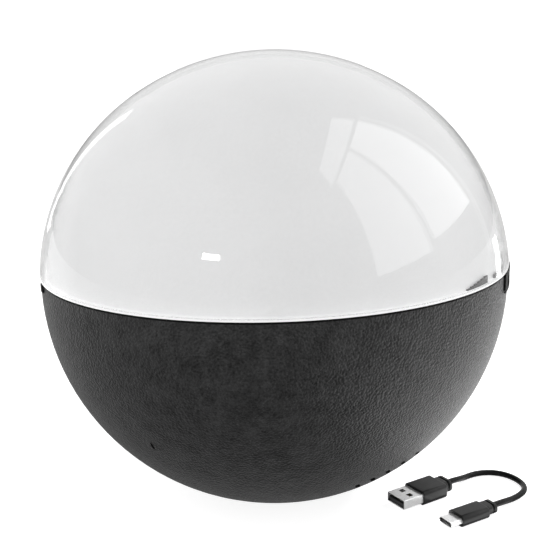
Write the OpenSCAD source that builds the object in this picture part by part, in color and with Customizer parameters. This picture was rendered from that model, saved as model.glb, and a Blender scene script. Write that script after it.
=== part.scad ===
// Floating pool light: a ball that floats upright, with a clear dome over a white diffuser,
// a dark base shell that holds the battery, ballast and controls, and a short charging cable
// that lies beside it. Millimetres, +Z up, origin at the centre of the foot.

/* [Base shell] */
// Outer radius of the base shell's sphere
base_r = 108.4; // [108.2:0.1:108.8]
// Wall thickness of the base shell
shell_t = 3; // [2.6:0.1:3]
// Height of the rim above the centre of the base shell's sphere
rim_rise = 4.7; // [4.2:0.1:5]
// Radius of the mouth inside the rim
mouth_r = 100; // [99.5:0.5:100.5]
// Radius at which the sphere would meet the floor without its rubber ring
foot_r = 24; // [23.5:0.5:25]

/* [Domes] */
// Greatest outer radius of the clear dome
dome_r = 109.25; // [109.1:0.05:109.4]
// Height of the clear dome above its widest level
dome_h = 105.5; // [105:0.5:106.5]
// Depth of the dome's widest level below the centre of the base shell's sphere
dome_drop = 2.9; // [2.5:0.1:3.2]
// Wall thickness of the clear dome
clear_t = 2; // [1.8:0.1:2.2]
// Wall thickness of the diffuser
diffuser_t = 1.8; // [1.4:0.1:2.2]
// Air gap between the clear dome and the diffuser
dome_gap = 1.5; // [1.5:0.1:1.7]
// Thickness of the black gasket under the domes
gasket_t = 1; // [0.8:0.1:1.2]
// Thickness of the diffuser's flange, between the gasket and the clear dome
flange_t = 0.8; // [0.6:0.1:1]

/* [Grip slots] */
// Number of short slanted slots in the row low on the base shell
slot_count = 5; // [2:1:6]
// Length of a slot
slot_l = 9; // [5:0.5:9]
// Width of a slot
slot_w = 2.2; // [2:0.1:2.6]

/* [Underside] */
// Radius of the round recess in the foot
recess_r = 19.8; // [19.7:0.1:20.2]
// Depth of the recess from the floor to the service cover
recess_h = 8; // [7.5:0.5:8]
// Thickness of the service cover
cover_t = 3; // [3:0.5:3.5]
// Radius of the power button
button_r = 4.5; // [4:0.1:4.5]
// Travel of the power button
button_travel = 1.2; // [0.6:0.1:1.2]

/* [Battery and boards] */
// Radius of a battery cell
cell_r = 9.15; // [9:0.05:9.2]
// Length of a battery cell
cell_l = 65; // [64:0.5:65]
// Thickness of the ballast ring
ballast_t = 6; // [4:0.5:6]
// Radius of the round LED board
led_board_r = 32; // [31:0.5:34]

/* [Charging cable] */
// Diameter of the cable
cable_d = 2.8; // [2.4:0.1:3]
// Width of the USB-A shell
a_shell_w = 12; // [11.9:0.05:12.1]
// Height of the USB-A shell
a_shell_h = 4.5; // [4.4:0.05:4.6]
// Width of the USB-C shell
c_shell_w = 8.34; // [8.2:0.02:8.4]
// Height of the USB-C shell
c_shell_h = 2.56; // [2.5:0.02:2.6]

/* [Hidden] */

$fn = 96;
CUT = 1;                                    // how far a cutting solid runs past a face

// Levels, from the floor up
base_cz = sqrt(base_r * base_r - foot_r * foot_r);
foot_z = 0.6;                               // the shell's own underside, above the rubber ring's
rim_z = base_cz + rim_rise;                 // top of the base shell
lip_t = 4;                                  // thickness of the rim's inward lip
flange_z = rim_z + gasket_t;                // underside of the diffuser's flange
dome_z = flange_z + flange_t;               // lower edge of the clear dome
dome_cz = base_cz - dome_drop;              // widest level of both domes
gasket_ring = [101, 108.2];                 // inner and outer radius of each ring on the rim
flange_ring = [103, 108.7];
key_out = dome_r - clear_t - 1.1;
key_ring = [key_out - 0.7, key_out];
cover_z = recess_h;                         // underside of the service cover
hub_z = cover_z + cover_t;                  // face that the service cover is screwed against
hub_top = 20;
hub_r = 29;
bore_r = 12;                                // way up through the hub
port_board_z = 18;
port_board_t = 1.2;
switch_h = 2.6;                             // the tact switch hangs under the port board
stem_top = port_board_z - switch_h - button_travel - 0.2;
boss_top = 18;                              // top of the four chassis bosses
cradle_z = boss_top + ballast_t;
cradle_t = 3;
cradle_top = cradle_z + cradle_t;
cell_z = cradle_top + cell_r + 1.25;
cell_y = 10;                                // each cell's distance from the middle
control_z = 54;
control_t = 1.6;
control_top = control_z + control_t;
plate_z = 103;
plate_t = 2.5;
led_z = plate_z + plate_t;
led_t = 1.6;

// The domes' section is an oval: a side arc whose centre is off the axis, and a top arc
// that meets it at a tangent
side_off = 5.25;
side_r = dome_r - side_off;
top_r = (side_off * side_off + dome_h * dome_h - side_r * side_r) / (2 * (dome_h - side_r));
top_cz = dome_cz + dome_h - top_r;
diffuser_in = clear_t + dome_gap;           // inset of the diffuser's outer face

// Fastener places
chassis_xy = 30.4;
post_x = 20;
post_y = 25;
plate_screw_r = 92;
led_screw_r = 28;
cover_screw_r = 16.8;
port_post = [8.6, -0.5];

// Underside layout, all in the service cover's plane
port_y = -6;
button_y = 6.2;
pipe_xy = [-8.2, 5.6];
hinge_y = -12.6;
hinge_z = cover_z - 1.7;
pin_r = 0.8;
knuckle_r = 1.5;
knuckle_l = 9.6;
running = 0.05;                             // radial clearance of a turning or sliding fit

// Charging cable: each plug is drawn from its cable end at the origin towards its tip on +X.
// An overmould is a ring, a groove, a neck and a body, each with its length, width and height
a_end = [79.4, -22.6, 3.4];
a_turn = 212;
a_mould = [[1.4, 9.4, 5.8], [1, 7, 4.6], [2.8, 9.4, 5.8], [14.2, 13.6, 6.8]];
a_tip_l = 11.3;
c_end = [96.3, -45, 2.7];
c_turn = 210;
c_mould = [[1.5, 7.6, 4.8], [1, 5.6, 3.6], [3.4, 7.6, 4.8], [15.3, 10.4, 5.4]];
c_tip_l = 6.2;
plug_pocket = 3;                            // how deep a metal shell sits in its overmould
cable_route = [
    a_end, [84.5, -19.4, 3.3], [87.2, -17.2, 2.8], [90.2, -14.2, 2], [93.6, -11.4, 1.6],
    [97.6, -9.4, 1.5], [102, -8.6, 1.5], [106.6, -9.2, 1.5], [110.8, -11.4, 1.5],
    [114.2, -15.2, 1.5], [116.2, -19.6, 1.5], [116.8, -24.2, 1.5], [115.6, -28.6, 1.5],
    [112.8, -32.4, 1.5], [109.2, -35.8, 1.6], [105.8, -38.6, 2], [102.8, -41, 2.5],
    [100.4, -42.6, 2.7], c_end
];

// Routes of the leads inside the ball
battery_lead_route = [
    [33.6, 10, 42], [33.8, 10, 50], [33.5, 10.5, 57], [31.5, 11, 60.4], [29, 11.5, 60.4],
    [26.2, 12, 59]
];
led_lead_route = [
    [22, -14, 61.8], [21.5, -15.5, 67], [19, -21, 77], [12, -29, 88], [4.5, -35.5, 96],
    [0.5, -38, 101.5], [0, -38, 105.5], [0, -36.8, 108.2], [0, -34, 109], [0, -31, 108.4]
];
port_lead_route = [
    [-5, 3, 20.4], [-6, 6, 21.8], [-9, 14, 22], [-13, 24, 22], [-14, 27, 24], [-14, 27.5, 28],
    [-14, 29.5, 34], [-14, 32.5, 42], [-14, 33, 52], [-14, 33, 58], [-14, 31.5, 60.4],
    [-14, 29, 60.4], [-14, 26.2, 59]
];

// ---- Tubes along a route ----

function unit(v) = v / norm(v);
function heading(p, i) = unit(p[min(i + 1, len(p) - 1)] - p[max(i - 1, 0)]);
function tube_ring(p, i, r, sides, up) =
    let (t = heading(p, i), s = unit(cross(t, up)), u = cross(s, t))
    [for (k = [0:sides - 1]) p[i] + r * (cos(360 * k / sides) * s + sin(360 * k / sides) * u)];

// A closed tube of radius r through the points p, never parallel to up
module tube(p, r, sides, up) {
    last = len(p) - 1;
    polyhedron(
        points = [for (i = [0:last]) each tube_ring(p, i, r, sides, up)],
        faces = concat(
            [[for (k = [0:sides - 1]) sides - 1 - k]],
            [for (i = [0:last - 1]) for (k = [0:sides - 1])
                [i * sides + k, i * sides + (k + 1) % sides,
                 (i + 1) * sides + (k + 1) % sides, (i + 1) * sides + k]],
            [[for (k = [0:sides - 1]) last * sides + k]]
        )
    );
}

// ---- Shapes that repeat ----

// Copies at (x, y) and its three mirror images
module four(x, y) {
    for (sx = [-1, 1], sy = [-1, 1]) translate([sx * x, sy * y, 0]) children();
}

// Copies in a circle of radius r, the first at angle start
module ring_of(n, r, start = 0) {
    for (i = [0:n - 1]) rotate([0, 0, start + i * 360 / n]) translate([r, 0, 0]) children();
}

// A flat ring between two radii
module band(inner, outer, z, h) {
    translate([0, 0, z]) difference() {
        cylinder(r = outer, h = h);
        translate([0, 0, -CUT]) cylinder(r = inner, h = h + 2 * CUT);
    }
}

// Rectangle with round corners, centred
module rounded(w, h, r) {
    union() {
        square([w - 2 * r, h], center = true);
        square([w, h - 2 * r], center = true);
        for (sx = [-1, 1], sy = [-1, 1])
            translate([sx * (w / 2 - r), sy * (h / 2 - r)]) circle(r, $fn = 32);
    }
}

// Slot outline with half-round ends, along X, centred
module stadium(l, w) {
    union() {
        square([l - w, w], center = true);
        for (s = [-1, 1]) translate([s * (l - w) / 2, 0]) circle(w / 2, $fn = 32);
    }
}

// Bar along +X from x, with a rounded cross-section w wide and h high
module bar(x, l, w, h, r) {
    translate([x, 0, 0]) rotate([90, 0, 90]) linear_extrude(l) rounded(w, h, r);
}

// Cross-head screw: its head stands on z = 0 and its shank goes down
module screw(shank_r, length, head_r, head_h) {
    slot = [head_r * 1.3, head_r * 0.3, head_h];
    difference() {
        union() {
            cylinder(r = head_r, h = head_h, $fn = 32);
            translate([0, 0, -length]) cylinder(r = shank_r, h = length + head_h / 2, $fn = 32);
        }
        for (a = [0, 90]) rotate([0, 0, a])
            translate([-slot.x / 2, -slot.y / 2, head_h * 0.45]) cube(slot);
    }
}

// Vertical hole through a plate from z down to z - depth
module hole(r, z, depth) {
    translate([0, 0, z - depth]) cylinder(r = r, h = depth + CUT, $fn = 48);
}

// Half section of the domes' oval, drawn in by inset, above the level z
module oval_section(inset, z) {
    reach = 2 * dome_r;
    tangent = unit([side_off, dome_cz - top_cz]);
    intersection() {
        translate([0, z]) square([reach, reach]);
        union() {
            translate([side_off, dome_cz]) circle(side_r - inset, $fn = 360);
            intersection() {
                translate([0, top_cz]) circle(top_r - inset, $fn = 360);
                polygon([[0, top_cz], [reach * tangent.x, top_cz + reach * tangent.y],
                         [0, top_cz + reach]]);
            }
        }
    }
}

module dome_wall(inset, thickness, z) {
    rotate_extrude($fn = 180) difference() {
        oval_section(inset, z);
        oval_section(inset + thickness, z - CUT);
    }
}

// ---- Base shell ----

// Half section of the bowl with its hub, rim lip, recess and foot groove
module bowl_section() {
    difference() {
        intersection() {
            translate([0, base_cz]) circle(base_r, $fn = 360);
            translate([0, foot_z]) square([base_r, rim_z - foot_z]);
        }
        intersection() {
            translate([0, base_cz]) circle(base_r - shell_t, $fn = 360);
            union() {
                translate([hub_r, 0]) square([base_r, rim_z - lip_t]);
                translate([0, hub_top]) square([base_r, rim_z - lip_t - hub_top]);
            }
        }
        translate([0, rim_z - lip_t - CUT]) square([mouth_r, lip_t + 2 * CUT]);
        square([recess_r, hub_z]);
        square([bore_r, hub_top + CUT]);
        translate([foot_r - 2.6, 0]) square([2.6, 2.2]);
    }
}

// Cutter for a slot in the bowl, polar degrees from straight down, turned by roll
module skin_slot(polar, azimuth, roll, l, w, depth) {
    translate([0, 0, base_cz]) rotate([0, 180 - polar, azimuth]) rotate([0, 0, roll])
        translate([0, 0, base_r - depth]) linear_extrude(depth + CUT) stadium(l, w);
}

module base_shell() {
    color([0.22, 0.22, 0.23]) difference() {
        union() {
            rotate_extrude($fn = 180) bowl_section();
            intersection() {
                translate([0, 0, base_cz]) sphere(base_r - shell_t / 2, $fn = 180);
                union() {
                    four(chassis_xy, chassis_xy) cylinder(r = 4.5, h = boss_top, $fn = 48);
                    ring_of(6, plate_screw_r) {
                        translate([0, 0, plate_z - 15]) cylinder(r = 5, h = 15, $fn = 48);
                        translate([0, -2.5, plate_z - 15]) cube([20, 5, 15]);
                    }
                }
            }
        }
        four(chassis_xy, chassis_xy) hole(2.1, boss_top, 9);
        ring_of(6, plate_screw_r) hole(1.6, plate_z, 12);
        ring_of(4, cover_screw_r, 45) translate([0, 0, hub_z - CUT])
            cylinder(r = 1.3, h = 6 + CUT, $fn = 32);
        for (i = [0:slot_count - 1])
            skin_slot(38.7 + 2.3 * i, -60 + 4.8 * i, 31.4 + 5 * i, slot_l, slot_w, 1.8);
        skin_slot(59.7, -123.6, 0, 4.2, 1.2, 1.4);
    }
}

module foot_ring() {
    color([0.1, 0.1, 0.1]) band(foot_r - 2.5, foot_r - 0.1, 0, 2.2);
}

// ---- Rim and domes ----

// An arc of radii ring[0] to ring[1], from azimuth start, that stands on the level z
module ring_arc(ring, start, angle, z, h) {
    rotate([0, 0, start]) rotate_extrude(angle = angle)
        translate([ring[0], z]) square([ring[1] - ring[0], h]);
}

// The gasket's pull tab hangs over the outside of the base, with a window for a fingernail,
// and a small nub marks the far end of the seam
module rim_gasket() {
    hang = [108.6, 109.2];
    bridge = [107, hang[1]];
    tab = [-24.5, 15];                              // where it starts and its angle
    color([0.04, 0.04, 0.04]) union() {
        band(gasket_ring[0], gasket_ring[1], rim_z, gasket_t);
        ring_arc(bridge, tab[0], tab[1], rim_z, gasket_t);
        difference() {
            ring_arc(hang, tab[0], tab[1], rim_z - 7.5, 7.5 + gasket_t);
            ring_arc([hang[0] - CUT, hang[1] + CUT], tab[0] + 3.5, 8, rim_z - 5.8, 4.3);
        }
        ring_arc(bridge, -159.5, 2.5, rim_z, gasket_t);
        ring_arc(hang, -159.5, 2.5, rim_z - 2.5, 2.5 + gasket_t);
    }
}

module clear_dome() {
    color([0.85, 0.9, 0.95, 0.35]) dome_wall(0, clear_t, dome_z);
}

module diffuser_dome() {
    color([0.95, 0.95, 0.95]) union() {
        dome_wall(diffuser_in, diffuser_t, flange_z);
        band(flange_ring[0], flange_ring[1], flange_z, flange_t);
    }
}

// The dark bayonet keys that the dome turns under: a stepped ramp, a catch and a stop
module dome_keys() {
    ramp_start = -44.5;
    step = [1.5, 0.5];                              // degrees and rise of one step
    color([0.12, 0.12, 0.12]) for (side = [0, 180]) rotate([0, 0, side]) {
        difference() {
            ring_arc(key_ring, ramp_start, 6 * step[0], dome_z, 6 * step[1]);
            for (k = [1:5]) rotate([0, 0, ramp_start + k * step[0]])
                translate([0, -base_r, dome_z + k * step[1]]) cube([2 * base_r, base_r, 4]);
        }
        ring_arc(key_ring, -31, 15, dome_z, 1.6);
        ring_arc(key_ring, -13, 7, dome_z, 2);
    }
}

// ---- Light source ----

module reflector_plate() {
    color([0.96, 0.96, 0.96]) difference() {
        translate([0, 0, plate_z]) cylinder(r = mouth_r - 1.5, h = plate_t, $fn = 180);
        ring_of(6, plate_screw_r) hole(1.7, plate_z + plate_t, plate_t + CUT);
        ring_of(3, led_screw_r, 30) hole(1.6, plate_z + plate_t, plate_t + CUT);
        translate([0, -38, 0]) hole(4, plate_z + plate_t, plate_t + CUT);
    }
}

module reflector_screws() {
    color([0.75, 0.75, 0.77]) ring_of(6, plate_screw_r)
        translate([0, 0, plate_z + plate_t]) screw(1.5, 12, 3, 2);
}

module led_board() {
    color([0.9, 0.92, 0.9]) difference() {
        translate([0, 0, led_z]) cylinder(r = led_board_r, h = led_t);
        ring_of(3, led_screw_r, 30) hole(1.7, led_z + led_t, led_t + CUT);
    }
}

module led_chips() {
    size = [3.5, 3.5, 1];
    color([0.98, 0.85, 0.35]) translate([0, 0, led_z + led_t]) {
        for (ring = [[1, 0], [6, 10], [12, 20]]) ring_of(ring[0], ring[1])
            translate([-size.x / 2, -size.y / 2, 0]) cube(size);
    }
}

module led_board_screws() {
    color([0.75, 0.75, 0.77]) ring_of(3, led_screw_r, 30)
        translate([0, 0, led_z + led_t]) screw(1.4, 3.8, 2.6, 1.6);
}

// ---- Ballast and battery ----

module ballast_ring() {
    color([0.45, 0.46, 0.48]) difference() {
        band(33, 56, boss_top, ballast_t);
        four(chassis_xy, chassis_xy) hole(2.3, cradle_z, ballast_t + CUT);
    }
}

module battery_cradle() {
    color([0.12, 0.12, 0.13]) difference() {
        union() {
            translate([0, 0, cradle_z]) linear_extrude(cradle_t) rounded(74, 74, 8);
            for (s = [-1, 1]) {
                translate([s * 20 - 2, -21, cradle_top]) cube([4, 42, 9]);
                translate([s * 35.75 - 1.25, -21, cradle_top]) cube([2.5, 42, 17]);
            }
            four(post_x, post_y) translate([0, 0, cradle_top])
                cylinder(r = 3, h = control_z - cradle_top, $fn = 48);
        }
        four(chassis_xy, chassis_xy) hole(2.3, cradle_top, cradle_t + CUT);
        four(post_x, post_y) hole(1.25, control_z, 9);
        for (s = [-1, 1]) {
            translate([-cell_l / 2, s * cell_y, cell_z]) rotate([0, 90, 0])
                cylinder(r = cell_r + 0.1, h = cell_l);
            translate([0, s * 27.5, 0]) hole(1.3, cradle_top, cradle_t + CUT);
        }
        hole(15, cradle_top, cradle_t + CUT);
        translate([-14, 27.4, 0]) hole(2.6, cradle_top, cradle_t + CUT);
    }
}

module chassis_screws() {
    color([0.75, 0.75, 0.77]) four(chassis_xy, chassis_xy)
        translate([0, 0, cradle_top]) screw(2, 17, 3.6, 2.6);
}

module battery_cells() {
    color([0.2, 0.45, 0.75]) for (s = [-1, 1])
        translate([-cell_l / 2, s * cell_y, cell_z]) rotate([0, 90, 0])
            cylinder(r = cell_r, h = cell_l);
}

module battery_tabs() {
    tab = [0.3, 26, 6];
    color([0.8, 0.8, 0.78]) for (x = [-cell_l / 2 - tab.x, cell_l / 2])
        translate([x, -tab.y / 2, cell_z - tab.z / 2]) cube(tab);
}

module battery_strap() {
    top = cell_z + cell_r + 0.1;
    t = 1.5;
    color([0.15, 0.15, 0.16]) difference() {
        union() {
            translate([-7, -23.5, top]) cube([14, 47, t]);
            for (s = [-1, 1]) {
                translate([-7, s * 22.75 - t / 2, cradle_top]) cube([14, t, top + t - cradle_top]);
                translate([-7, s * 27 - 4.5, cradle_top]) cube([14, 9, t]);
            }
        }
        for (s = [-1, 1]) translate([0, s * 27.5, 0]) hole(1.6, cradle_top + t, t + CUT);
    }
}

module strap_screws() {
    color([0.75, 0.75, 0.77]) for (s = [-1, 1])
        translate([0, s * 27.5, cradle_top + 1.5]) screw(1.25, 4, 2.4, 1.6);
}

// ---- Control board ----

module control_board() {
    color([0.1, 0.35, 0.2]) difference() {
        translate([0, 0, control_z]) linear_extrude(control_t) rounded(60, 60, 2);
        four(post_x, post_y) hole(1.4, control_top, control_t + CUT);
    }
}

module control_board_screws() {
    color([0.75, 0.75, 0.77]) four(post_x, post_y)
        translate([0, 0, control_top]) screw(1.2, 8, 2.2, 1.6);
}

module controller_chips() {
    color([0.08, 0.08, 0.09])
        for (c = [[-12, 4, 9, 9, 1.4], [6, 12, 6, 5, 1.4], [9, -4, 5, 5, 1], [3, -18, 4, 6, 1.2]])
            translate([c[0] - c[2] / 2, c[1] - c[3] / 2, control_top]) cube([c[2], c[3], c[4]]);
}

module power_inductor() {
    color([0.3, 0.3, 0.32]) translate([-14, -12, control_top])
        linear_extrude(5) rounded(10, 10, 2.5);
}

module lead_connectors() {
    color([0.95, 0.95, 0.9])
        for (c = [[22, 12], [22, -14], [-13.6, 22]])
            translate([c[0] - 4, c[1] - 4, control_top]) cube([8, 8, 6]);
}

module battery_leads() {
    color([0.7, 0.1, 0.1]) tube(battery_lead_route, 0.7, 8, [0, 1, 0]);
}

module led_leads() {
    color([0.7, 0.1, 0.1]) tube(led_lead_route, 1, 8, [1, 0, 0]);
}

module port_leads() {
    color([0.15, 0.15, 0.15]) tube(port_lead_route, 1, 8, [1, 0, 0]);
}

// ---- Service cover, with the charging port and the button ----

module service_cover() {
    color([0.16, 0.16, 0.17]) difference() {
        union() {
            translate([0, 0, cover_z]) cylinder(r = recess_r - 0.2, h = cover_t);
            for (s = [-1, 1]) {
                translate([s * port_post.x, port_post.y, hub_z])
                    cylinder(r = 1.5, h = port_board_z - hub_z, $fn = 32);
                translate([s * 6.6 - 1.5, hinge_y - knuckle_r, hinge_z])
                    cube([3, 2 * knuckle_r, cover_z - hinge_z]);
                translate([s * 6.6 - 1.5, hinge_y, hinge_z]) rotate([0, 90, 0])
                    cylinder(r = knuckle_r, h = 3, $fn = 48);
            }
        }
        translate([0, port_y, cover_z - CUT]) linear_extrude(cover_t + 2 * CUT)
            stadium(10.4, 4.8);
        translate([0, button_y, 0]) hole(button_r + 0.3, hub_z, cover_t + CUT);
        translate(pipe_xy) hole(1.3, hub_z, cover_t + CUT);
        band(12.7, 14.1, hub_z - 1.3, 1.3 + CUT);
        ring_of(4, cover_screw_r, 45) {
            hole(1.4, hub_z, cover_t + CUT);
            translate([0, 0, cover_z - CUT]) cylinder(r = 2.25, h = 1.7 + CUT, $fn = 48);
        }
        for (s = [-1, 1]) translate([s * port_post.x, port_post.y, 0])
            hole(0.75, port_board_z, 5);
        translate([-9, hinge_y, hinge_z]) rotate([0, 90, 0])
            cylinder(r = pin_r + running, h = 18, $fn = 48);
    }
}

module cover_seal() {
    color([0.6, 0.15, 0.1]) rotate_extrude() translate([13.4, hub_z - 0.65])
        circle(0.64, $fn = 32);
}

module cover_screws() {
    color([0.75, 0.75, 0.77]) ring_of(4, cover_screw_r, 45)
        translate([0, 0, cover_z + 1.7]) mirror([0, 0, 1]) screw(1.2, 7, 2.1, 1.5);
}

module port_board() {
    color([0.1, 0.35, 0.2]) difference() {
        translate([0, 0, port_board_z]) cylinder(r = 11.2, h = port_board_t);
        for (s = [-1, 1]) translate([s * port_post.x, port_post.y, 0])
            hole(0.9, port_board_z + port_board_t, port_board_t + CUT);
    }
}

module port_board_screws() {
    color([0.75, 0.75, 0.77])
        for (s = [-1, 1]) translate([s * port_post.x, port_post.y, port_board_z + port_board_t])
            screw(0.7, 5, 1.4, 1);
}

// Stands on end: its mouth faces down through the service cover
module usb_c_receptacle() {
    mouth_z = hub_z - 1.6;
    h = port_board_z - mouth_z;
    color([0.78, 0.78, 0.8]) translate([0, port_y, mouth_z]) union() {
        difference() {
            linear_extrude(h) stadium(8.94, 3.26);
            translate([0, 0, -CUT]) linear_extrude(h - 1.5 + CUT) stadium(8.4, 2.7);
        }
        translate([-3.3, -0.35, 0.9]) cube([6.6, 0.7, h - 1.5]);
    }
}

module charge_light_pipe() {
    color([0.9, 0.95, 1, 0.5]) translate([pipe_xy.x, pipe_xy.y, cover_z - 0.3])
        cylinder(r = 1.25, h = 8.6, $fn = 32);
}

module tact_switch() {
    color([0.1, 0.1, 0.1]) translate([-2.25, button_y - 2.25, port_board_z - switch_h])
        cube([4.5, 4.5, switch_h]);
}

// ---- Power button ----

module power_button() {
    groove_z = cover_z + 1.2;
    color([0.55, 0.57, 0.6]) translate([0, button_y, 0]) difference() {
        union() {
            translate([0, 0, cover_z - 1.4]) cylinder(r = button_r, h = cover_t + 1.6);
            translate([0, 0, hub_z + 0.2]) cylinder(r = button_r + 0.9, h = 1);
            translate([0, 0, hub_z + 1]) cylinder(r = 1.6, h = stem_top - hub_z - 1, $fn = 48);
        }
        band(button_r - 0.4, button_r + CUT, groove_z, 1);
        translate([0, 0, cover_z - 1.4 - CUT]) cylinder(r = button_r - 1.5, h = 0.4 + CUT);
    }
}

module button_seal() {
    color([0.6, 0.15, 0.1]) translate([0, button_y, 0])
        band(button_r - 0.4, button_r + 0.3 - running, cover_z + 1.2, 1);
}

module button_spring() {
    turns = 4;
    wire = 0.3;
    low = hub_z + 1.2 + wire + 0.05;
    high = port_board_z - wire - 0.05;
    steps = turns * 16;
    route = [for (i = [0:steps])
        [4.2 * cos(360 * turns * i / steps), button_y + 4.2 * sin(360 * turns * i / steps),
         low + (high - low) * i / steps]];
    color([0.7, 0.7, 0.72]) tube(route, wire, 6, [0, 0, 1]);
}

// ---- Charging port flap ----

module port_flap() {
    panel_z = hinge_z - 0.9;
    color([0.13, 0.13, 0.14]) difference() {
        union() {
            translate([0, -5.9, panel_z]) linear_extrude(1.8) rounded(16, 9.8, 2);
            translate([-knuckle_l / 2, hinge_y, panel_z]) cube([knuckle_l, 3, 1.8]);
            translate([-knuckle_l / 2, hinge_y, hinge_z]) rotate([0, 90, 0])
                cylinder(r = knuckle_r, h = knuckle_l, $fn = 48);
            translate([0, port_y, panel_z]) linear_extrude(3.8) stadium(7.8, 2.2);
        }
        translate([-9, hinge_y, hinge_z]) rotate([0, 90, 0])
            cylinder(r = pin_r + running, h = 18, $fn = 48);
    }
}

module flap_seal() {
    color([0.6, 0.15, 0.1]) translate([0, port_y, hinge_z + 0.9])
        linear_extrude(cover_z - hinge_z - 0.95) difference() {
            stadium(14, 8.2);
            stadium(12, 6.2);
        }
}

module flap_hinge_pin() {
    color([0.75, 0.75, 0.77]) translate([-8.1, hinge_y, hinge_z]) rotate([0, 90, 0])
        cylinder(r = pin_r, h = 16.2, $fn = 48);
}

// ---- Charging cable ----

module at_a_plug() { translate(a_end) rotate([0, 0, a_turn]) children(); }
module at_c_plug() { translate(c_end) rotate([0, 0, c_turn]) children(); }

// The overmould of a plug, with a pocket for its metal shell
module overmould(mould, corner, pocket_w, pocket_h, pocket_r) {
    ring = mould[0];
    groove = mould[1];
    neck = mould[2];
    body = mould[3];
    neck_x = ring.x + groove.x;
    difference() {
        union() {
            bar(0, ring.x, ring.y, ring.z, ring.z * 0.4);
            bar(ring.x - CUT, groove.x + 2 * CUT, groove.y, groove.z, groove.z * 0.4);
            bar(neck_x, neck.x + CUT, neck.y, neck.z, neck.z * 0.4);
            bar(neck_x + neck.x, body.x, body.y, body.z, corner);
        }
        bar(neck_x + neck.x + body.x - plug_pocket, plug_pocket + CUT,
            pocket_w, pocket_h, pocket_r);
    }
}

function length(mould) = mould[0].x + mould[1].x + mould[2].x + mould[3].x;
a_front = length(a_mould);                        // front face of the USB-A overmould
c_front = length(c_mould);                        // front face of the USB-C overmould

module cable_flex() {
    color([0.08, 0.08, 0.08]) tube(cable_route, cable_d / 2, 8, [0, 0, 1]);
}

module usb_a_overmould() {
    color([0.1, 0.1, 0.1]) at_a_plug()
        overmould(a_mould, 1.6, a_shell_w + 0.1, a_shell_h + 0.1, 0.45);
}

module usb_a_shell() {
    wall = 0.3;
    color([0.8, 0.8, 0.82]) at_a_plug() difference() {
        bar(a_front - plug_pocket, plug_pocket + a_tip_l, a_shell_w, a_shell_h, 0.4);
        bar(a_front - plug_pocket + wall, plug_pocket + a_tip_l,
            a_shell_w - 2 * wall, a_shell_h - 2 * wall, 0.15);
        for (s = [-1, 1]) translate([a_front + 4, s * 2.6 - 1.35, 0]) cube([2.5, 2.7, 4]);
    }
}

module usb_a_tongue() {
    color([0.06, 0.06, 0.06]) at_a_plug()
        translate([a_front - plug_pocket + 0.4, -5.6, -1.9]) cube([13.4, 11.2, 1.9]);
}

module usb_a_contacts() {
    color([0.85, 0.7, 0.35]) at_a_plug()
        for (y = [-3.5, -1, 1, 3.5]) translate([a_front - 0.5, y - 0.5, 0]) cube([8, 1, 0.15]);
}

module usb_c_overmould() {
    color([0.1, 0.1, 0.1]) at_c_plug()
        overmould(c_mould, 2.2, c_shell_w + 0.1, c_shell_h + 0.1, 1.3);
}

module usb_c_shell() {
    wall = 0.25;
    color([0.8, 0.8, 0.82]) at_c_plug() difference() {
        bar(c_front - plug_pocket, plug_pocket + c_tip_l, c_shell_w, c_shell_h, 1.26);
        bar(c_front - plug_pocket + wall, plug_pocket + c_tip_l,
            c_shell_w - 2 * wall, c_shell_h - 2 * wall, 1.02);
    }
}

module usb_c_insert() {
    start = c_front - plug_pocket + 0.3;
    color([0.06, 0.06, 0.06]) at_c_plug() difference() {
        bar(start, 8, c_shell_w - 0.7, c_shell_h - 0.7, 0.85);
        bar(start + 3, 8, c_shell_w - 1.7, 0.8, 0.2);
    }
}

base_shell();
foot_ring();
rim_gasket();
clear_dome();
diffuser_dome();
dome_keys();
reflector_plate();
reflector_screws();
led_board();
led_chips();
led_board_screws();
ballast_ring();
battery_cradle();
chassis_screws();
battery_cells();
battery_tabs();
battery_strap();
strap_screws();
control_board();
control_board_screws();
controller_chips();
power_inductor();
lead_connectors();
battery_leads();
led_leads();
port_leads();
service_cover();
cover_seal();
cover_screws();
port_board();
port_board_screws();
usb_c_receptacle();
charge_light_pipe();
tact_switch();
power_button();
button_seal();
button_spring();
port_flap();
flap_seal();
flap_hinge_pin();
cable_flex();
usb_a_overmould();
usb_a_shell();
usb_a_tongue();
usb_a_contacts();
usb_c_overmould();
usb_c_shell();
usb_c_insert();
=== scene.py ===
"""The look of the floating pool light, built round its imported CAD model. Metres, +Z up."""

import functools
import math

import bpy
from mathutils import Euler, Matrix, Vector


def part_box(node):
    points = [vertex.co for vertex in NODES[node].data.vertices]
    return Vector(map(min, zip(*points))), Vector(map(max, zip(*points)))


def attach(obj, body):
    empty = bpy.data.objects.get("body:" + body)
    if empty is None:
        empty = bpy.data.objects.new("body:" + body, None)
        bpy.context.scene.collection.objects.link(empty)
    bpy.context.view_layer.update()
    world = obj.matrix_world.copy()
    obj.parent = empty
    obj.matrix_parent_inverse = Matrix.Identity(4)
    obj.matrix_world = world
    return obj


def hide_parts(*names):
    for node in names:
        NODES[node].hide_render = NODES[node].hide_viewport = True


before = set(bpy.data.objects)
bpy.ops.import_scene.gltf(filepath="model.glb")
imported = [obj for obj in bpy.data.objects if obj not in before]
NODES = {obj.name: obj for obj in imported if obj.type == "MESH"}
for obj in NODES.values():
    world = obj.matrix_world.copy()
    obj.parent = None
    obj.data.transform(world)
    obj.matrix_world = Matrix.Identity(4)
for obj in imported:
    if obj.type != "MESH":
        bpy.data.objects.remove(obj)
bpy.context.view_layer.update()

PACKED = "packed_"
for packed_material in list(bpy.data.materials):
    packed_material.name = PACKED + packed_material.name

MM = 0.001
SEAM_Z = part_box("rim_gasket")[1].z


# ---------------------------------------------------------------- camera and cable

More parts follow.
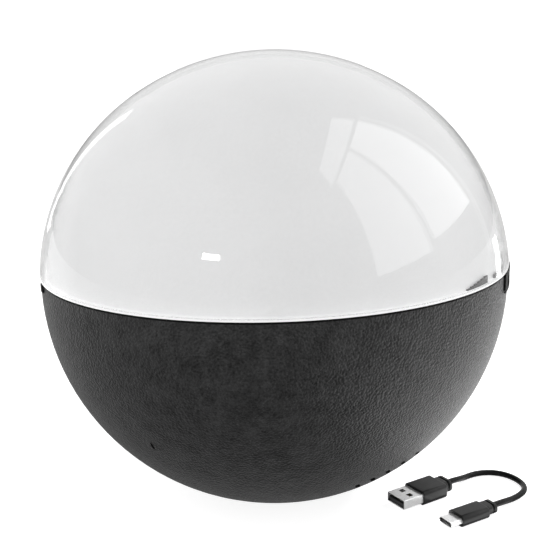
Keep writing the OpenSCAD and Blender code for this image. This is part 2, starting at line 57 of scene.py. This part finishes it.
CAMERA_LENS = 59.13
CAMERA_PLACE = (0, -0.4225, 0.2032)
CAMERA_DOWN = 13.35
CAMERA_RIGHT = 0.063
CAMERA_ROLL = -1.55


def make_camera():
    """The photograph's view: low in front of the ball, rolled a little."""
    data = bpy.data.cameras.new("camera")
    data.sensor_width = 36
    data.lens = CAMERA_LENS
    data.clip_start = 0.01
    camera = bpy.data.objects.new("camera", data)
    bpy.context.collection.objects.link(camera)
    aim = Euler([math.radians(a) for a in (90 - CAMERA_DOWN, 0, -CAMERA_RIGHT)])
    roll = Matrix.Rotation(math.radians(CAMERA_ROLL), 3, "Z")
    camera.matrix_world = Matrix.LocRotScale(
        Vector(CAMERA_PLACE), (aim.to_matrix() @ roll).to_quaternion(), None
    )
    bpy.context.scene.camera = camera


CABLE_D = 2.8 * MM
CABLE_ROUTE_MM = [
    (79.4, -22.6, 3.4), (84.5, -19.4, 3.3), (87.2, -17.2, 2.8), (90.2, -14.2, 2),
    (93.6, -11.4, 1.6), (97.6, -9.4, 1.5), (102, -8.6, 1.5), (106.6, -9.2, 1.5),
    (110.8, -11.4, 1.5), (114.2, -15.2, 1.5), (116.2, -19.6, 1.5), (116.8, -24.2, 1.5),
    (115.6, -28.6, 1.5), (112.8, -32.4, 1.5), (109.2, -35.8, 1.6), (105.8, -38.6, 2),
    (102.8, -41, 2.5), (100.4, -42.6, 2.7), (96.3, -45, 2.7),
]


def make_cable():
    """The free cable between the two plugs, which lies on the floor in one open loop."""
    data = bpy.data.curves.new("charging_cable_flex", "CURVE")
    data.dimensions = "3D"
    data.bevel_depth = CABLE_D / 2
    data.bevel_resolution = 8
    data.resolution_u = 8
    spline = data.splines.new("BEZIER")
    spline.bezier_points.add(len(CABLE_ROUTE_MM) - 1)
    for point, place in zip(spline.bezier_points, CABLE_ROUTE_MM):
        point.co = Vector(place) * MM
        point.handle_left_type = point.handle_right_type = "AUTO"
    cable = bpy.data.objects.new("charging_cable_flex", data)
    bpy.context.collection.objects.link(cable)
    data.materials.append(cable_jacket())
    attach(cable, "charging_cable")
    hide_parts("cable_flex")
    plugs = [n for n in NODES if n.startswith("usb_a_") or n.startswith("usb_c_")]
    plugs.remove("usb_c_receptacle")
    return cable


# ---------------------------------------------------------------- material tools


class Paint:
    """One material being built: a Principled shader and the nodes that feed it."""

    def __init__(self, name):
        self.material = bpy.data.materials.new(name)
        self.material.use_nodes = True
        self.tree = self.material.node_tree
        self.tree.nodes.clear()
        self.output = self.tree.nodes.new("ShaderNodeOutputMaterial")
        self.place = self.add("TexCoord").outputs["Object"]

    def add(self, kind, inputs=None, **settings):
        """A node of that kind. An input that is a socket is linked, any other is a value."""
        node = self.tree.nodes.new("ShaderNode" + kind)
        for key, value in settings.items():
            setattr(node, key, value)
        for key, value in (inputs or {}).items():
            if isinstance(value, bpy.types.NodeSocket):
                self.tree.links.new(value, node.inputs[key])
            else:
                node.inputs[key].default_value = value
        return node

    def noise(self, size, detail=3, rough=0.5, stretch=(1, 1, 1)):
        """Soft noise, whose blotches are about size across, in metres."""
        place = self.add("Mapping", {"Vector": self.place, "Scale": stretch}).outputs[0]
        inputs = {"Vector": place, "Scale": 1 / size, "Detail": detail, "Roughness": rough}
        return self.add("TexNoise", inputs).outputs["Fac"]

    def pebbles(self, size, smooth=0.6):
        """The rounded pebbles of a moulded grain, about size across, in metres."""
        inputs = {"Vector": self.place, "Scale": 1 / size, "Smoothness": smooth}
        return self.add("TexVoronoi", inputs, feature="SMOOTH_F1").outputs["Distance"]

    def between(self, value, low, high, start=0.0, stop=1.0):
        """value, from start..stop, carried over to low..high."""
        inputs = {0: value, 1: start, 2: stop, 3: low, 4: high}
        return self.add("MapRange", inputs).outputs[0]

    def colours(self, value, *stops):
        """A colour for a value, from (place, colour) pairs."""
        ramp = self.add("ValToRGB", {"Fac": value})
        elements = ramp.color_ramp.elements
        while len(elements) < len(stops):
            elements.new(1)
        for element, (place, colour) in zip(elements, stops):
            element.position = place
            element.color = (*colour, 1)
        return ramp.outputs["Color"]

    def bump(self, height, depth, strength=1.0, below=None):
        """A normal from a height of 0 to 1, which stands for depth metres."""
        inputs = {"Height": height, "Distance": depth, "Strength": strength}
        if below:
            inputs["Normal"] = below
        return self.add("Bump", inputs).outputs["Normal"]

    def edges(self, radius, samples=6):
        """A normal that rounds hard edges off to that radius."""
        return self.add("Bevel", {"Radius": radius}, samples=samples).outputs["Normal"]

    def crevice_shade(self, reach, open_at=1.0):
        """Painted shade: 1 in the open, falling towards 0 deep in a groove or slot no wider than
        reach.
        """
        inputs = {"Distance": reach}
        shade = self.add("AmbientOcclusion", inputs, samples=8, only_local=True).outputs["AO"]
        return self.between(shade, 0, 1, 0.35, open_at)

    def plus(self, a, b):
        return self.add("Math", {0: a, 1: b}, operation="ADD").outputs[0]

    def tint(self, colour, value):
        """colour, darkened towards black as value falls to 0."""
        inputs = {0: 1.0, 6: colour, 7: self.colours(value, (0, (0, 0, 0)), (1, (1, 1, 1)))}
        mix = self.add("Mix", data_type="RGBA", blend_type="MULTIPLY")
        for key, socket in inputs.items():
            if isinstance(socket, float):
                mix.inputs[key].default_value = socket
            else:
                self.tree.links.new(socket, mix.inputs[key])
        return mix.outputs[2]

    def principled(self, **inputs):
        """The shader, with inputs named in lower case with underscores."""
        named = {k.replace("_", " ").title().replace("Ior", "IOR"): v for k, v in inputs.items()}
        return self.add("BsdfPrincipled", named).outputs["BSDF"]

    def done(self, shader):
        self.tree.links.new(shader, self.output.inputs["Surface"])
        return self.material


def once(make):
    """Each material is made once and shared by the pieces that have it."""
    made = []

    @functools.wraps(make)
    def get():
        if not made:
            made.append(make())
        return made[0]

    return get


def shade(colour, factor):
    return tuple(min(1, c * factor) for c in colour)


# ---------------------------------------------------------------- moulded plastics and rubbers


def moulded(name, colour, rough=0.45, grain=0.0009, depth=0.00004, blotch=0.02, spread=0.12):
    """Moulded plastic: a fine spark-eroded grain, faint blotches and uneven gloss."""
    p = Paint(name)
    cloud = p.noise(blotch, 4)
    fine = p.noise(grain, 4, 0.6)
    tone = p.colours(
        cloud, (0.3, shade(colour, 1 - spread)), (0.7, shade(colour, 1 + spread))
    )
    return p.done(
        p.principled(
            base_color=tone,
            roughness=p.between(fine, rough - 0.08, rough + 0.1, 0.3, 0.7),
            normal=p.bump(fine, depth),
        )
    )


@once
def base_plastic():
    """The base shell's dark grey plastic, with a leather-like grain about a millimetre across, and
    painted shade that darkens it in its slots and grooves.
    """
    p = Paint("base_plastic")
    leather = p.pebbles(1.0 * MM)
    pores = p.noise(1.0 * MM, 2, 0.6)
    cloud = p.noise(7 * MM, 5, 0.65)
    # Painted shade: the colour is darkened where the shell's slots and grooves hide it from the
    # light.
    open_air = p.crevice_shade(4 * MM)
    tone = p.colours(
        p.between(p.plus(cloud, pores), 0, 1, 0.75, 1.25),
        (0.0, (0.003, 0.003, 0.003)),
        (1.0, (0.034, 0.034, 0.0345)),
    )
    crease = p.between(leather, 0, 1, 0.15, 0.75)
    normal = p.bump(pores, 0.2 * MM, 1.0, p.bump(crease, 0.3 * MM, 1.0))
    return p.done(
        p.principled(
            base_color=p.tint(tone, open_air),
            roughness=p.between(pores, 0.42, 0.6, 0.3, 0.7),
            specular_ior_level=0.36,
            sheen_weight=0.1,
            sheen_roughness=0.4,
            sheen_tint=(0.9, 0.9, 0.9, 1),
            normal=normal,
        )
    )


@once
def black_rubber():
    """The gasket and the foot ring: soft, deep black and dull."""
    p = Paint("black_rubber")
    dust = p.noise(2.5 * MM, 5, 0.65)
    tone = p.colours(dust, (0.35, (0.002, 0.002, 0.002)), (0.75, (0.006, 0.006, 0.006)))
    return p.done(
        p.principled(
            base_color=tone,
            roughness=p.between(dust, 0.55, 0.8, 0.3, 0.7),
            specular_ior_level=0.12,
            normal=p.bump(p.noise(0.4 * MM), 0.02 * MM),
        )
    )


@once
def flap_rubber():
    return moulded("flap_rubber", (0.018, 0.018, 0.019), 0.6, 0.0004, 0.00003)


def soft_vinyl(name, dark, light, shine, rough):
    """Soft black vinyl, finely matt."""
    p = Paint(name)
    matt = p.noise(0.35 * MM, 4, 0.65)
    tone = p.colours(p.noise(4 * MM, 4), (0.3, (dark,) * 3), (0.7, (light,) * 3))
    return p.done(
        p.principled(
            base_color=tone,
            roughness=p.between(matt, rough - 0.06, rough + 0.06, 0.3, 0.7),
            specular_ior_level=shine,
            normal=p.bump(matt, 0.02 * MM, 0.6, p.edges(0.5 * MM)),
        )
    )


@once
def cable_black():
    """The overmoulds."""
    return soft_vinyl("cable_black", 0.007, 0.013, 0.28, 0.36)


@once
def cable_jacket():
    """The cable between them, a shade darker and smoother."""
    return soft_vinyl("cable_jacket", 0.003, 0.006, 0.16, 0.24)


@once
def white_plastic():
    return moulded("white_plastic", (0.78, 0.78, 0.77), 0.4, 0.0005, 0.00002, spread=0.03)


@once
def chassis_plastic():
    return moulded("chassis_plastic", (0.09, 0.092, 0.095), 0.5, 0.0006)


@once
def plug_insulator():
    return moulded("plug_insulator", (0.012, 0.012, 0.013), 0.35, 0.0003, 0.00001)


@once
def button_grey():
    return moulded("button_grey", (0.16, 0.16, 0.165), 0.42, 0.0005, 0.00003)


@once
def cell_wrap():
    return moulded("cell_wrap", (0.03, 0.12, 0.32), 0.3, 0.003, 0.00002)


@once
def red_silicone():
    return moulded("red_silicone", (0.42, 0.05, 0.03), 0.5, 0.0004, 0.00002)


@once
def red_lead():
    return moulded("red_lead", (0.45, 0.03, 0.02), 0.4, 0.0006, 0.00002)


@once
def black_lead():
    return moulded("black_lead", (0.015, 0.015, 0.015), 0.4, 0.0006, 0.00002)


@once
def chip_black():
    return moulded("chip_black", (0.02, 0.02, 0.022), 0.55, 0.0003, 0.00002)


@once
def ferrite():
    return moulded("ferrite", (0.05, 0.048, 0.045), 0.65, 0.0003, 0.00004)


@once
def led_board_white():
    return moulded("led_board_white", (0.8, 0.8, 0.78), 0.35, 0.0012, 0.00001, spread=0.03)


@once
def led_yellow():
    return moulded("led_yellow", (0.75, 0.55, 0.08), 0.3, 0.0002, 0.00001)


@once
def board_green():
    """Solder mask: green, glossy, over a faint weave."""
    p = Paint("board_green")
    weave = p.add(
        "TexWave",
        {"Vector": p.place, "Scale": 700.0, "Distortion": 0.6, "Detail": 2.0},
        bands_direction="DIAGONAL",
    ).outputs["Fac"]
    tone = p.colours(
        p.noise(6 * MM, 3), (0.3, (0.01, 0.10, 0.035)), (0.7, (0.015, 0.14, 0.05))
    )
    return p.done(
        p.principled(
            base_color=tone, roughness=p.between(weave, 0.25, 0.35), normal=p.bump(weave, 0.01 * MM)
        )
    )


# ---------------------------------------------------------------- clear and milky plastics


@once
def clear_plastic():
    """Polished acrylic. Lamps and diffuse light pass it unbent, as thin clear walls let them."""
    p = Paint("clear_plastic")
    haze = p.noise(14 * MM, 4)
    # Painted shade: the clear wall is tinted grey, down to 0.62, where it is seen edge-on.
    turned = p.add("LayerWeight", {"Blend": 0.5}).outputs["Facing"]
    deep = p.between(turned, 0, 1, 0.78, 0.92)
    tint = p.colours(deep, (0.0, (0.99, 0.992, 0.995)), (1.0, (0.62, 0.62, 0.62)))
    glass = p.principled(
        base_color=tint,
        roughness=0.0,
        ior=1.49,
        transmission_weight=1.0,
        normal=p.bump(haze, 0.002 * MM, 0.3),
    )
    open_air = p.add("BsdfTransparent", {"Color": (0.97, 0.97, 0.97, 1)}).outputs[0]
    path = p.add("LightPath").outputs
    inner = p.add("MixShader", {0: path["Is Diffuse Ray"], 1: glass, 2: open_air}).outputs[0]
    outer = p.add("MixShader", {0: path["Is Shadow Ray"], 1: inner, 2: open_air}).outputs[0]
    return p.done(outer)


@once
def diffuser_plastic():
    """Milky plastic, with a painted glow: an emission placed by position lifts it a little, most of
    all near the rim and at its left edge, less low down and on its left and right sides.
    """
    p = Paint("diffuser_plastic")
    fine = p.plus(p.noise(30 * MM, 3), p.noise(1.2 * MM, 2))
    tone = p.colours(
        p.between(fine, 0, 1, 0.7, 1.3), (0.0, (0.79, 0.79, 0.79)), (1.0, (0.83, 0.83, 0.83))
    )
    side = p.add("SeparateXYZ", {0: p.add("TexCoord").outputs["Generated"]}).outputs
    # Painted light: a glow by position, at the rim, low down, on the left, at the left edge and on
    # the right.
    rim = p.between(side["Z"], 0.25, 0.0, 0.0, 0.015)
    low = p.between(side["Z"], 0.05, -0.03, 0.0, 0.7)
    left = p.between(side["X"], 0.11, 0.0, 0.0, 0.5)
    edge = p.between(side["X"], 0.24, 0.0, 0.0, 0.14)
    right = p.between(side["X"], 0.0, 0.07, 0.6, 0.95)
    glow = p.plus(p.plus(rim, low), p.plus(p.plus(left, edge), right))
    return p.done(
        p.principled(
            base_color=tone,
            roughness=p.between(p.noise(0.8 * MM, 3), 0.5, 0.6, 0.3, 0.7),
            subsurface_weight=0.3,
            subsurface_radius=(0.004, 0.004, 0.004),
            subsurface_scale=1.0,
            emission_color=(1, 1, 1, 1),
            emission_strength=glow,
            normal=p.bump(p.noise(0.6 * MM, 3), 0.008 * MM, 0.5),
        )
    )


# ---------------------------------------------------------------- metals


def metal(name, colour, rough=0.3, lay=(1, 1, 12), size=0.0006, tarnish=0.15, bevel=0.1 * MM):
    """Bare or plated metal: fine marks along one way, patches of tarnish, soft edges."""
    p = Paint(name)
    marks = p.noise(size, 4, 0.6, lay)
    patches = p.noise(5 * MM, 5, 0.6)
    tone = p.colours(patches, (0.3, shade(colour, 1 - tarnish)), (0.75, colour))
    return p.done(
        p.principled(
            base_color=tone,
            metallic=1.0,
            roughness=p.between(marks, rough - 0.08, rough + 0.1, 0.3, 0.7),
            normal=p.bump(marks, 0.003 * MM, 0.6, p.edges(bevel)),
        )
    )


@once
def plug_metal():
    """The plugs' bright tinned shells: pale and satin, with fine marks along them, and painted
    shade that darkens them inside their mouths.
    """
    p = Paint("plug_metal")
    marks = p.noise(0.5 * MM, 4, 0.6, (1, 1, 5))
    patches = p.noise(3 * MM, 5, 0.6)
    tone = p.colours(patches, (0.3, (0.82, 0.82, 0.82)), (0.7, (0.9, 0.9, 0.9)))
    # Painted shade: the colour darkens deep inside the plugs' mouths.
    inside = p.crevice_shade(2 * MM)
    return p.done(
        p.principled(
            base_color=p.tint(tone, p.between(inside, 0.0, 1.0, 0.6, 0.9)),
            metallic=0.55,
            roughness=p.between(marks, 0.26, 0.38, 0.3, 0.7),
            normal=p.bump(marks, 0.004 * MM, 0.6),
        )
    )


@once
def screw_steel():
    return metal("screw_steel", (0.56, 0.56, 0.55), 0.3, (1, 1, 1), 0.0004)


@once
def spring_steel():
    return metal("spring_steel", (0.5, 0.5, 0.49), 0.25, (1, 1, 1), 0.0003)


@once
def nickel():
    return metal("nickel", (0.62, 0.59, 0.53), 0.3, (1, 8, 1), 0.0006)


@once
def ballast_iron():
    return metal("ballast_iron", (0.26, 0.25, 0.24), 0.55, (1, 1, 1), 0.001, 0.4)


@once
def contact_gold():
    return metal("contact_gold", (0.83, 0.6, 0.24), 0.2, (1, 1, 1), 0.0003, 0.1, 0.03 * MM)


MATERIALS = {
    make.__name__: make
    for make in (
        base_plastic, black_rubber, flap_rubber, cable_black, white_plastic, chassis_plastic,
        plug_insulator, button_grey, cell_wrap, red_silicone, red_lead, black_lead, chip_black,
        ferrite, led_board_white, led_yellow, board_green, clear_plastic, diffuser_plastic,
        plug_metal, screw_steel, spring_steel, nickel, ballast_iron, contact_gold,
    )
}


# ---------------------------------------------------------------- the CAD nodes' finish


def dress_nodes():
    """Every CAD node takes the finished material of its slot."""
    for node in NODES.values():
        for slot in node.material_slots:
            slot.material = MATERIALS[slot.material.name.removeprefix(PACKED)]()


def join_faces(name):
    """Joins a node's faces at their shared edges, so that its gloss runs over them unbroken."""
    weld = NODES[name].modifiers.new("join_faces", "WELD")
    weld.merge_threshold = 0.001 * MM


def round_edges(name, radius, segments=3, angle=40):
    """Rounds a node's hard edges off with real geometry."""
    node = NODES[name]
    join_faces(name)
    bevel = node.modifiers.new("round_edges", "BEVEL")
    bevel.width = radius
    bevel.segments = segments
    bevel.limit_method = "ANGLE"
    bevel.angle_limit = math.radians(angle)
    bevel.harden_normals = True


def round_plugs():
    round_edges("usb_a_overmould", 0.45 * MM)
    round_edges("usb_c_overmould", 0.45 * MM)


# ---------------------------------------------------------------- floor and light


def make_floor():
    """A plain pale floor, large enough that its end is lost in the white."""
    half = 30
    data = bpy.data.meshes.new("floor")
    corners = [(-half, -half, 0), (half, -half, 0), (half, half, 0), (-half, half, 0)]
    data.from_pydata(corners, [], [(0, 1, 2, 3)])
    floor = bpy.data.objects.new("floor", data)
    bpy.context.collection.objects.link(floor)
    data.materials.append(floor_paint())


def floor_paint():
    """White to the camera, as a studio sweep is. In the object's gloss it is a grey floor with
    painted light and shade: darker in front, lighter behind and to either side.
    """
    p = Paint("floor_paint")
    place = p.add("SeparateXYZ", {0: p.place}).outputs
    # Painted light and shade in the floor's gloss: darker in front, lighter behind and to either
    # side.
    left = p.between(place["X"], 0.5, 0.0, -0.3, -0.1)
    painted_side_light = p.plus(p.between(place["X"], 0.0, 0.4, 0.02, 0.3), left)
    tone = p.plus(p.between(place["Y"], 0.2, 0.52, -0.3, 0.15), painted_side_light)
    grey = p.colours(tone, (0.0, (0.0, 0.0, 0.0)), (1.0, (1.0, 1.0, 1.0)))
    gloss = p.add("Emission", {"Color": grey}).outputs[0]
    pale = p.colours(p.noise(0.4, 2), (0.3, (0.46, 0.46, 0.46)), (0.7, (0.5, 0.5, 0.5)))
    matt = p.add("BsdfDiffuse", {"Color": pale}).outputs[0]
    glow = p.add("Emission", {"Strength": 0.86}).outputs[0]
    lit = p.add("AddShader", {0: matt, 1: glow}).outputs[0]
    bounce = p.add("BsdfDiffuse", {"Color": (0.6, 0.6, 0.6, 1)}).outputs[0]
    path = p.add("LightPath").outputs
    # Painted light: seen through clear walls, the floor glows brighter the more walls the ray has
    # passed.
    painted_glow_through_clear = p.between(path["Transmission Depth"], 0.56, 0.86, 2, 4)
    window = p.add("Emission", {"Strength": painted_glow_through_clear}).outputs[0]
    seen = p.add("MixShader", {0: path["Is Glossy Ray"], 1: bounce, 2: gloss}).outputs[0]
    seen = p.add("MixShader", {0: path["Is Transmission Ray"], 1: seen, 2: window}).outputs[0]
    return p.done(p.add("MixShader", {0: path["Is Camera Ray"], 1: seen, 2: lit}).outputs[0])


ROOM_SEEN = 1.1
ROOM_SOFT = 1.15
ROOM_BEHIND = 0.95
ROOM_FRONT = 0.6
ROOM_LOW = 0.55


def make_room():
    """White to the camera. In the gloss it is bright behind, greyer in front and low down."""
    world = bpy.data.worlds.new("room")
    bpy.context.scene.world = world
    world.use_nodes = True
    tree = world.node_tree
    tree.nodes.clear()
    nodes, links = tree.nodes, tree.links
    place = nodes.new("ShaderNodeTexCoord").outputs["Generated"]
    split = nodes.new("ShaderNodeSeparateXYZ")
    links.new(place, split.inputs[0])

    def ramp(value, start, stop, low, high):
        node = nodes.new("ShaderNodeMapRange")
        node.interpolation_type = "SMOOTHSTEP"
        links.new(value, node.inputs["Value"])
        for key, number in zip(("From Min", "From Max", "To Min"), (start, stop, low)):
            node.inputs[key].default_value = number
        if isinstance(high, bpy.types.NodeSocket):
            links.new(high, node.inputs["To Max"])
        else:
            node.inputs["To Max"].default_value = high
        return node.outputs[0]

    path = nodes.new("ShaderNodeLightPath").outputs
    depth = ramp(split.outputs["Y"], 0.2, 0.9, ROOM_FRONT, ROOM_BEHIND)
    level = ramp(split.outputs["Z"], 0.0, 0.3, ROOM_LOW, depth)
    for ray, value in (("Is Diffuse Ray", ROOM_SOFT), ("Is Camera Ray", ROOM_SEEN)):
        mix = nodes.new("ShaderNodeMix")
        links.new(path[ray], mix.inputs[0])
        links.new(level, mix.inputs[2])
        mix.inputs[3].default_value = value
        level = mix.outputs[0]
    background = nodes.new("ShaderNodeBackground")
    background.inputs["Color"].default_value = (1, 1, 1, 1)
    links.new(level, background.inputs["Strength"])
    output = nodes.new("ShaderNodeOutputWorld")
    links.new(background.outputs[0], output.inputs["Surface"])


def make_panel(name, place, size, radiance, aim, soft=False, spread=180):
    """A flat light of that radiance, which faces aim, for glossy surfaces or for matt ones."""
    data = bpy.data.lights.new(name, "AREA")
    data.shape = "RECTANGLE"
    data.size, data.size_y = size
    data.energy = radiance * math.pi * size[0] * size[1]
    data.spread = math.radians(spread)
    lamp = bpy.data.objects.new(name, data)
    bpy.context.collection.objects.link(lamp)
    lamp.location = place
    lamp.rotation_euler = (Vector(aim) - Vector(place)).to_track_quat("-Z", "Y").to_euler()
    lamp.visible_camera = False
    lamp.visible_glossy = lamp.visible_transmission = not soft
    lamp.visible_diffuse = soft


WINDOW_X = 1.3
WINDOW_PANES = [
    # front edge, back edge, sill, head, as shares of the window's distance, and radiance
    (-0.17, 0.49, 0.26, 1.80, 1.1),
    (-0.95, -0.23, 0.20, 1.80, 0.93),
    (-1.15, 0.49, 1.90, 2.70, 0.8),
    (0.56, 0.61, -0.05, 1.80, 0.3),
]


def make_window():
    """A tall paned window to the right, which shows in the dome's gloss."""
    for k, (front, back, sill, head, radiance) in enumerate(WINDOW_PANES):
        middle = Vector((1, (front + back) / 2, (sill + head) / 2)) * WINDOW_X
        middle.z += SEAM_Z
        size = ((back - front) * WINDOW_X, (head - sill) * WINDOW_X)
        make_panel(f"window_{k}", middle, size, radiance, middle - Vector((1, 0, 0)))


def make_lights():
    make_window()
    middle = Vector((0, 0, SEAM_Z))
    make_panel("left_strip", (-0.9, 1.3, 0.45), (0.12, 0.9), 1.1, middle)
    make_panel("front_spot", (-0.75, -1.35, 0.72), (0.2, 0.075), 30.0, middle)
    make_panel("right_streak", (0.53, 0.35, 0.055), (0.045, 0.1), 4.0, (0.095, -0.05, 0.115))
    make_panel("right_floor", (0.28, 0.1, 0.002), (0.42, 0.5), 1.6, (0.28, 0.1, 1))
    make_panel("cable_lamp", (0.2, 0.06, 0.12), (0.05, 0.05), 6.0, (0.085, -0.03, 0), True, 45)


# ---------------------------------------------------------------- the scene

make_camera()
make_cable()
dress_nodes()
round_plugs()
join_faces("clear_dome")
make_floor()
make_room()
make_lights()
bpy.context.scene.view_settings.view_transform = "Standard"
